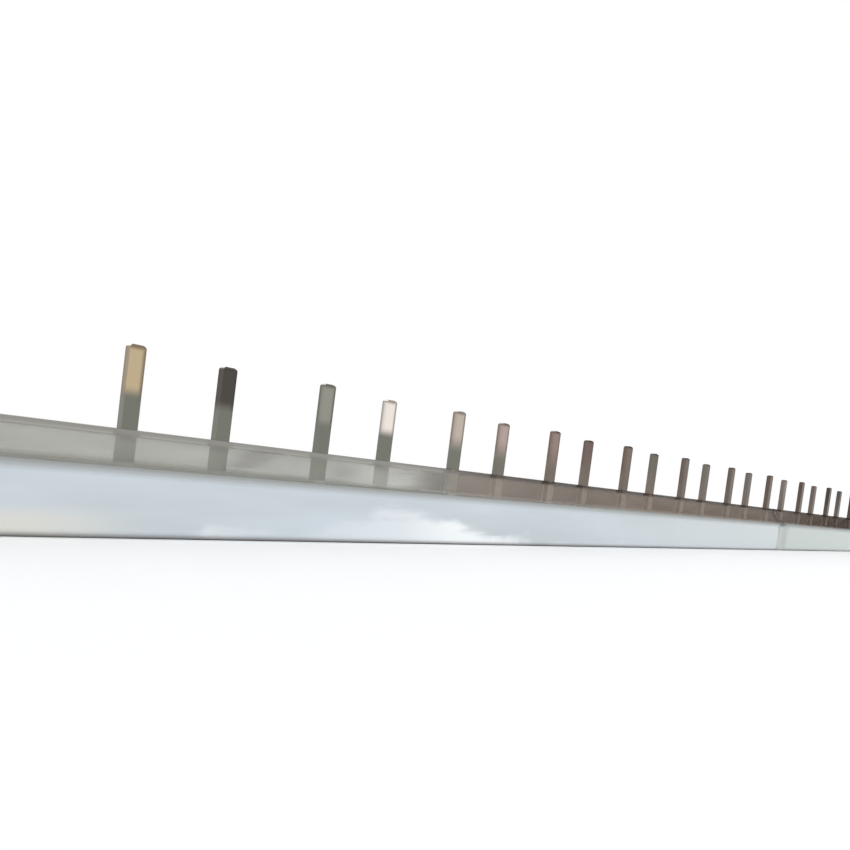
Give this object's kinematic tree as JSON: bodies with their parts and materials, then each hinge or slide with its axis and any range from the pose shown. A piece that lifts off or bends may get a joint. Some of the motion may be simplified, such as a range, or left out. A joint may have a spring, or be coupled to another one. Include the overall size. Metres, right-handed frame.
{
  "type": "comb busbar",
  "caption": "Two-pole comb busbar: tin-plated copper combs in a white plastic channel, their pins in one row through a smoky roof-shaped cover, with plain end caps.",
  "frame": {"origin": "middle of the channel's flat underside", "axes": "+X along the bar, +Z along the pins from the underside to the tips, -Y towards the creased front wall"},
  "size_m": [0.4352, 0.014, 0.0276],
  "materials": {
    "white_plastic": "glossy extruded plastic, slightly cool white",
    "smoky_plastic": "glossy translucent plastic, smoky grey-brown",
    "tinned_copper": "tin-plated stamped copper, satin to mirror-like",
    "cap_plastic": "moulded plastic, satin"
  },
  "bodies": {
    "root": {"channel": "white_plastic", "cover": "smoky_plastic", "line_comb": "tinned_copper", "neutral_comb": "tinned_copper", "left_end_cap": "cap_plastic", "right_end_cap": "cap_plastic"}
  },
  "joints": []
}
